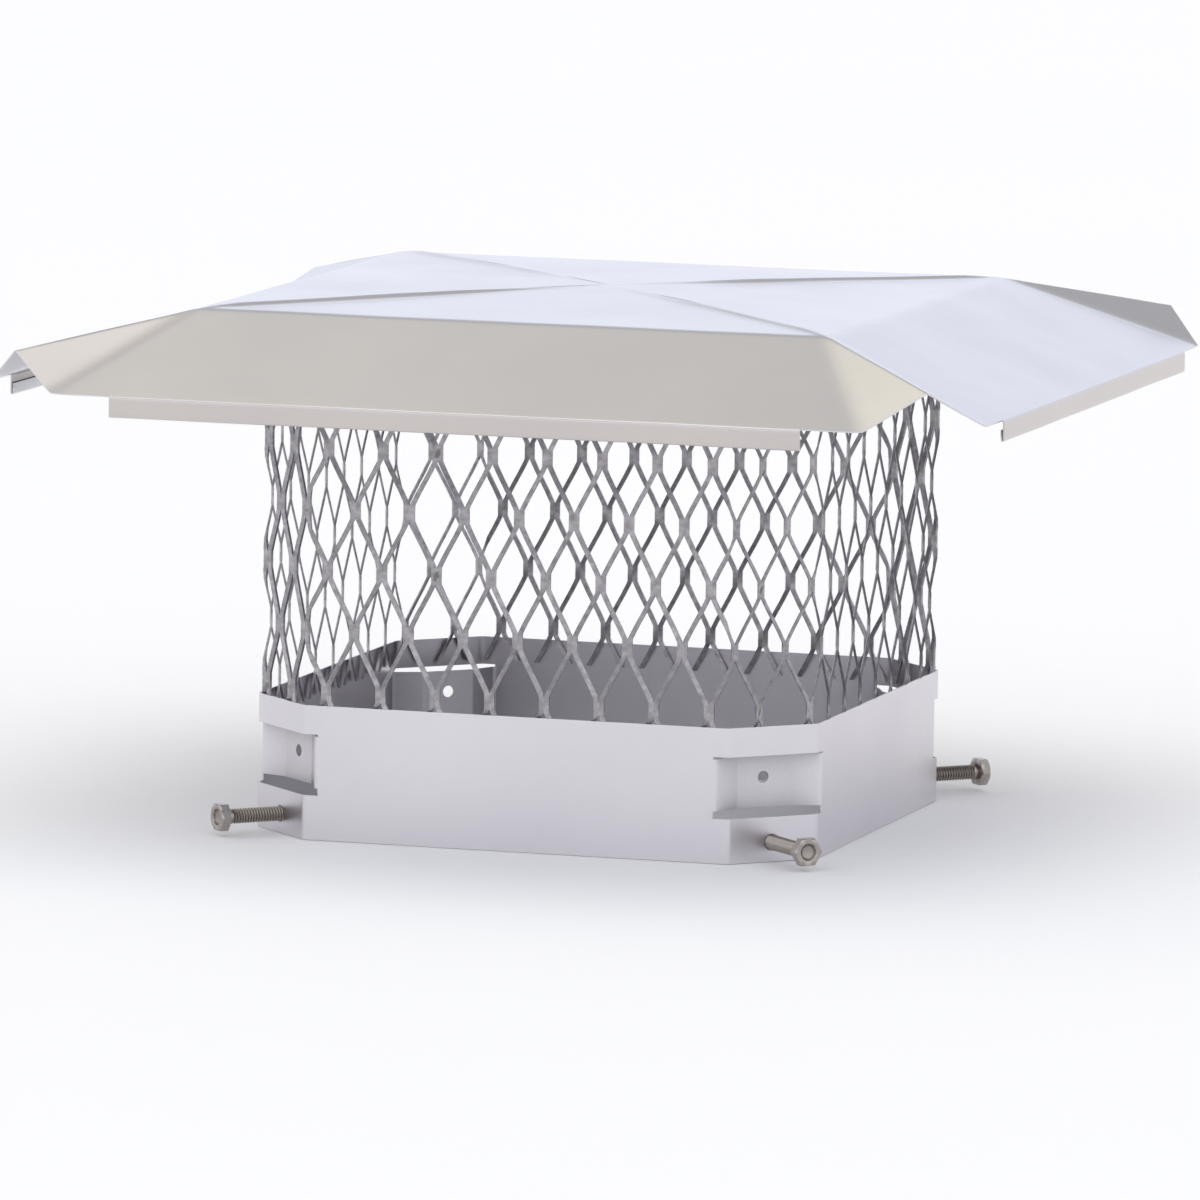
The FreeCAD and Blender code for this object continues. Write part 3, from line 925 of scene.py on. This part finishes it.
@dataclass
class ClampBolt:
    """Hex clamp bolt with a rolled thread and a dished head, through one cut corner."""

    corner: Corner
    standout: float
    axis_height: float = 8.0
    corner_reach: float = 213 / math.sqrt(2)
    length: float = 50.8
    radius: float = 3.175
    pitch: float = 1.27
    thread_depth: float = 0.68
    flank_slope: float = 1.3
    crest_share: float = 0.15
    tip_chamfer: float = 0.8
    plain_neck: float = 1.6
    neck_fade: float = 0.8
    neck_gap: float = 0.3
    head_flats: float = 11.1
    head_thick: float = 4.2
    crown_angle: float = 30.0
    seat_chamfer: float = 0.1
    # Heights of the rings on the head's wall, then height, radius and film of the dish's rings
    wall: tuple[float, ...] = (0.0, 0.25, 0.25, 2.0, 3.3, 3.6, 3.9, 4.2)
    dish: tuple[tuple[float, float, float], ...] = (
        (4.2, 3.75, 0.0), (4.12, 3.55, 0.2), (3.9, 3.35, 0.8),
        (3.45, 3.0, 0.75), (3.15, 2.2, 0.2), (3.1, 0.0, 0.1),
    )
    thread_film: float = 0.9
    seat_film: float = 0.6
    columns: int = 48
    rings_a_turn: int = 6
    sharp_degrees: float = 38.0

    def radii(self, height: Array, turn: Array) -> tuple[Array, Array]:
        """Return the bolt's radius and how deep in the thread each point of the shank lies.

        The thread is a flattened zigzag of the height over the pitch less the turn, and
        the tip's cone is a limit that grows with the distance from the tip.

        Args:
            height: Heights along the shank, the head's underside at 0.
            turn: Angles round it, in radians.

        Returns:
            Radii, and depths from 0 at the crest to 1 at the root.
        """
        wave = np.abs(2 * np.mod(height / self.pitch - turn / (2 * math.pi), 1) - 1)
        root = np.clip(wave * self.flank_slope - self.crest_share, 0, 1)
        root = root * np.clip(-(height + self.plain_neck) / self.neck_fade, 0, 1)
        cone = self.radius - self.tip_chamfer + (height + self.length)
        return np.minimum(self.radius - self.thread_depth * root, cone), root

    def build(self) -> bpy.types.Object:
        """Turn the bolt as one closed surface from its tip's middle to its dish's middle.

        The head's wall is a hexagon: half its flats over the cosine of the angle from the
        nearest flat's middle, limited by the crown's cone.

        Returns:
            The bolt.
        """
        turn = np.arange(self.columns) * 2 * math.pi / self.columns
        ring_step = self.pitch / self.rings_a_turn
        shank = np.arange(0, self.length - self.neck_gap, ring_step)[:, None] - self.length
        shank_radius, root = self.radii(shank, turn)
        half_flat = math.pi / 6
        from_flat = np.mod(turn + half_flat, 2 * half_flat) - half_flat
        hexagon = self.head_flats / 2 / np.cos(from_flat)
        crown = self.head_flats / 2
        wall = np.array(self.wall)[:, None]
        limit = crown + (self.head_thick - wall) / math.tan(math.radians(self.crown_angle))
        wall_radius = np.minimum(hexagon, limit)
        wall_radius[0] = np.minimum(wall_radius[0], crown - self.seat_chamfer)
        dish_height, dish_radius, dish_film = np.array(self.dish).T[..., None]
        around = np.ones(self.columns)
        heights = np.concatenate([
            np.full((1, 1), -self.length), shank, np.zeros((1, 1)), wall, dish_height,
        ]) * around
        radii = np.concatenate([
            0 * around[None], shank_radius, self.radius * around[None], wall_radius,
            dish_radius * around,
        ])
        groove = np.concatenate([
            0 * around[None], self.thread_film * root, self.seat_film * around[None],
            0 * wall * around, dish_film * around,
        ])
        outward = self.corner.outward
        base = outward * (self.corner_reach + self.standout) + UP * self.axis_height
        grid = (
            base
            + (radii * np.cos(turn))[..., None] * UP
            + (radii * np.sin(turn))[..., None] * np.cross(outward, UP)
            + heights[..., None] * outward
        )
        surface = Surface()
        surface.add_grid(grid, closed=True)
        bolt = surface.to_object(f"threaded_bolt_{self.corner.word}", self.sharp_degrees)
        self.mark_groove(bolt, grid, groove)
        return bolt

    def mark_groove(self, bolt: bpy.types.Object, grid: Array, groove: Array) -> None:
        """Store how deep each vertex lies, found by its place after the welding.

        Args:
            bolt: The finished bolt.
            grid: Points that the bolt was made from.
            groove: Depth of each of those points, from 0 to 1.
        """
        mesh = bolt.data
        found = np.empty(len(mesh.vertices) * 3)
        mesh.vertices.foreach_get("co", found)
        made = {key: at for at, key in enumerate(map(tuple, np.round(grid.reshape(-1, 3), 2)))}
        keys = map(tuple, np.round(found.reshape(-1, 3) / MM, 2))
        order = np.array([made.get(key, 0) for key in keys])
        values = groove.ravel()[order].astype(np.float32)
        mesh.attributes.new("groove", "FLOAT", "POINT").data.foreach_set("value", values)

    def dress(self, bolt: bpy.types.Object, material: bpy.types.Material) -> None:
        """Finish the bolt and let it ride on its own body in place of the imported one.

        Args:
            bolt: The built bolt.
            material: Material that the four bolts share.
        """
        finish_piece(bolt, material)
        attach(bolt, f"bolt_{self.corner.word}")
        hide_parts(f"clamp_bolt_{self.corner.word}")
        LOG.info("bolt %s: %d faces", self.corner.word, len(bolt.data.polygons))


@dataclass
class Cap:
    """The whole cap: lid, screen and bolts built here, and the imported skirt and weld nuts."""

    standouts: tuple[tuple[Corner, float], ...] = (
        (Corner.FRONT_RIGHT, 27.0), (Corner.BACK_RIGHT, 31.0),
        (Corner.BACK_LEFT, 29.0), (Corner.FRONT_LEFT, 25.0),
    )

    def build(self) -> None:
        """Build and dress the lid, screen and bolts, handing each to the body that carries it, and
        finish the imported skirt and weld nuts.
        """
        sheet = MillSheet("bright_mill_sheet", "#DADBE0", "#CFD0D6", Grain.ALONG_WIDTH)
        band = MillSheet(
            "bright_mill_band", "#DFDCDF", "#D3D0D5", Grain.ROUND_THE_BAND,
            roughness=0.29, streak_depth=0.005,
        )
        strand = ShearedStrand("expanded_strand", "#B0ADB0", "#868285")
        nut_steel = TurnedSteel("satin_nut_steel", "#A8A39D", "#6B6259").build()
        bolt_steel = TurnedSteel("satin_bolt_steel", "#B9B3AE", "#776C64").build()

        lid = Lid()
        lid.dress(lid.build(), sheet)
        screen = Screen()
        screen.dress(screen.build(), strand)
        for corner, standout in self.standouts:
            bolt = ClampBolt(corner, standout)
            bolt.dress(bolt.build(), bolt_steel)
            finish_piece(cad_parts[f"weld_nut_{corner.word}"], nut_steel)
        finish_piece(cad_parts["skirt"], band.build())


# Studio

@dataclass(frozen=True)
class Viewpoint:
    """Camera in front of the cap, to the right of it and a little above, in metres and degrees."""

    place: tuple[float, float, float] = (1.458, -4.753, 0.714)
    yaw: float = -17.07
    pitch: float = -7.15
    roll: float = 0.83
    focal_pixels: float = 11924.0
    frame_pixels: float = 1200.0
    sensor: float = 36.0

    def build(self) -> bpy.types.Object:
        """Place the camera and aim it by its yaw, pitch and roll.

        Returns:
            The scene's camera.
        """
        yaw, pitch, roll = (math.radians(angle) for angle in (self.yaw, self.pitch, self.roll))
        ahead = Vector((
            math.sin(yaw) * math.cos(pitch), math.cos(yaw) * math.cos(pitch), math.sin(pitch),
        ))
        level = Vector((math.cos(yaw), -math.sin(yaw), 0))
        above = level.cross(ahead)
        right = level * math.cos(roll) + above * math.sin(roll)
        upward = above * math.cos(roll) - level * math.sin(roll)
        lens = bpy.data.cameras.new("studio_camera")
        lens.sensor_width = self.sensor
        lens.lens = self.focal_pixels * self.sensor / self.frame_pixels
        lens.clip_end = 100
        camera = bpy.data.objects.new("studio_camera", lens)
        axes = Matrix((right, upward, -ahead)).transposed()
        camera.matrix_world = Matrix.Translation(self.place) @ axes.to_4x4()
        bpy.context.scene.collection.objects.link(camera)
        bpy.context.scene.camera = camera
        return camera


def blend_tones(
    tree: bpy.types.NodeTree,
    value: bpy.types.NodeSocket,
    limits: tuple[float, float],
    below: Tone | bpy.types.NodeSocket,
    above: Tone | bpy.types.NodeSocket,
) -> bpy.types.NodeSocket:
    """Pass smoothly from one tone to another while a value crosses a range.

    Args:
        tree: Node tree of the dome.
        value: Value that decides between the tones.
        limits: Where the passage starts and ends.
        below: Tone before the range.
        above: Tone past the range.

    Returns:
        Socket of the blended tone.
    """
    share = add_node(tree, "ShaderNodeMapRange", {"interpolation_type": "SMOOTHSTEP"}, {
        "Value": value, "From Min": limits[0], "From Max": limits[1],
    })
    mixed = add_node(tree, "ShaderNodeMix", {"data_type": "RGBA"}, {
        MIX_SHARE: share.outputs["Result"], MIX_FIRST: below, MIX_SECOND: above,
    })
    return mixed.outputs[MIX_RESULT]


@dataclass(frozen=True)
class Studio:
    """Pale floor, a soft dome and one broad lamp; lengths in metres, tones linear.

    The dome has a horizon, a band, a roof and an overhead part, each with its tones behind
    the cap and in front of it, and a zenith. The passages are ranges of the direction's
    height, its sideways share or its share to the back.
    """

    floor_rings: tuple[float, ...] = (0.0, 0.5, 2.0, 8.0, 40.0)
    floor_columns: int = 64
    floor_drop: float = 0.0003
    floor_sharp: float = 30.0
    lamp_strength: float = 1.0
    lamp_size: float = 64.0
    lamp_from: tuple[float, float, float] = (0.12, -0.15, 1.0)
    lamp_tint: tuple[float, float, float] = (0.95, 0.98, 1.0)
    horizon: Tone = (1.00, 1.02, 1.13, 1.0)
    grey_band: Tone = (0.56, 0.56, 0.55, 1.0)
    left_roof: Tone = (1.24, 1.16, 0.97, 1.0)
    right_roof: Tone = (0.53, 0.51, 0.53, 1.0)
    overhead: Tone = (0.98, 0.87, 0.74, 1.0)
    front_horizon: Tone = (1.10, 1.12, 1.18, 1.0)
    front_band: Tone = (1.28, 1.28, 1.30, 1.0)
    front_roof: Tone = (0.77, 0.78, 0.81, 1.0)
    front_overhead: Tone = (0.31, 0.30, 0.29, 1.0)
    zenith: Tone = (0.36, 0.34, 0.32, 1.0)
    left_to_right: tuple[float, float] = (-0.57, -0.09)
    front_to_back: tuple[float, float] = (-0.2, 0.1)
    overhead_to_back: tuple[float, float] = (0.12, 0.32)
    to_band: tuple[float, float] = (0.33, 0.43)
    to_roof: tuple[float, float] = (0.56, 0.66)
    to_overhead: tuple[float, float] = (0.78, 0.90)
    to_zenith: tuple[float, float] = (0.93, 0.97)

    def build_floor(self) -> bpy.types.Object:
        """Build the floor from rings of points round the middle.

        Returns:
            The floor.
        """
        turn = np.linspace(0, 2 * math.pi, self.floor_columns, endpoint=False)
        reach = np.array(self.floor_rings)[:, None] / MM
        drop = np.full((len(reach), len(turn)), -self.floor_drop / MM)
        grid = np.stack([reach * np.cos(turn), reach * np.sin(turn), drop], axis=-1)
        surface = Surface()
        surface.add_grid(grid, closed=True, flip=True)
        floor = surface.to_object("studio_floor", self.floor_sharp)
        floor.data.materials.append(PaleFloor().build())
        return floor

    def build_surroundings(self) -> None:
        """Set the dome: from the cool horizon up through a band to the roof and the zenith.

        Behind the cap the band is grey and the roof is bright on the left and dark on the
        right; in front both are even and pale. Overhead the dome turns warm, and it is
        dim at the zenith, where the lamp stands.
        """
        world = bpy.data.worlds.new("studio_dome")
        world.use_nodes = True
        tree = world.node_tree
        tree.nodes.clear()
        heading = add_node(tree, "ShaderNodeTexCoord").outputs["Generated"]
        split = add_node(tree, "ShaderNodeSeparateXYZ", inputs={"Vector": heading})
        side, depth, height = (split.outputs[axis] for axis in "XYZ")
        to_back = self.front_to_back
        roof = blend_tones(tree, side, self.left_to_right, self.left_roof, self.right_roof)
        roof = blend_tones(tree, depth, to_back, self.front_roof, roof)
        band = blend_tones(tree, depth, to_back, self.front_band, self.grey_band)
        overhead = blend_tones(
            tree, depth, self.overhead_to_back, self.front_overhead, self.overhead,
        )
        tone = blend_tones(tree, depth, to_back, self.front_horizon, self.horizon)
        for limits, above in (
            (self.to_band, band), (self.to_roof, roof),
            (self.to_overhead, overhead), (self.to_zenith, self.zenith),
        ):
            tone = blend_tones(tree, height, limits, tone, above)
        glow = add_node(tree, "ShaderNodeBackground", inputs={"Color": tone})
        add_node(tree, "ShaderNodeOutputWorld", inputs={"Surface": glow.outputs["Background"]})
        bpy.context.scene.world = world

    def build_lamp(self) -> bpy.types.Object:
        """Hang the broad lamp overhead, which lifts the floor and gives the folds their glints.

        Returns:
            The lamp.
        """
        lamp = bpy.data.lights.new("broad_lamp", "SUN")
        lamp.energy = self.lamp_strength
        lamp.color = self.lamp_tint
        lamp.angle = math.radians(self.lamp_size)
        holder = bpy.data.objects.new("broad_lamp", lamp)
        holder.rotation_euler = Vector(self.lamp_from).to_track_quat("Z", "Y").to_euler()
        bpy.context.scene.collection.objects.link(holder)
        return holder

    def build(self) -> None:
        """Build the studio, with tones shown as they are so that the floor stays white."""
        self.build_floor()
        self.build_surroundings()
        self.build_lamp()
        bpy.context.scene.view_settings.view_transform = "Standard"


def main() -> None:
    """Build the camera, the cap and its studio."""
    logging.basicConfig(level=logging.INFO, format="%(message)s")
    Viewpoint().build()
    Cap().build()
    Studio().build()
    bpy.context.view_layer.update()


if __name__ == "__main__":
    main()
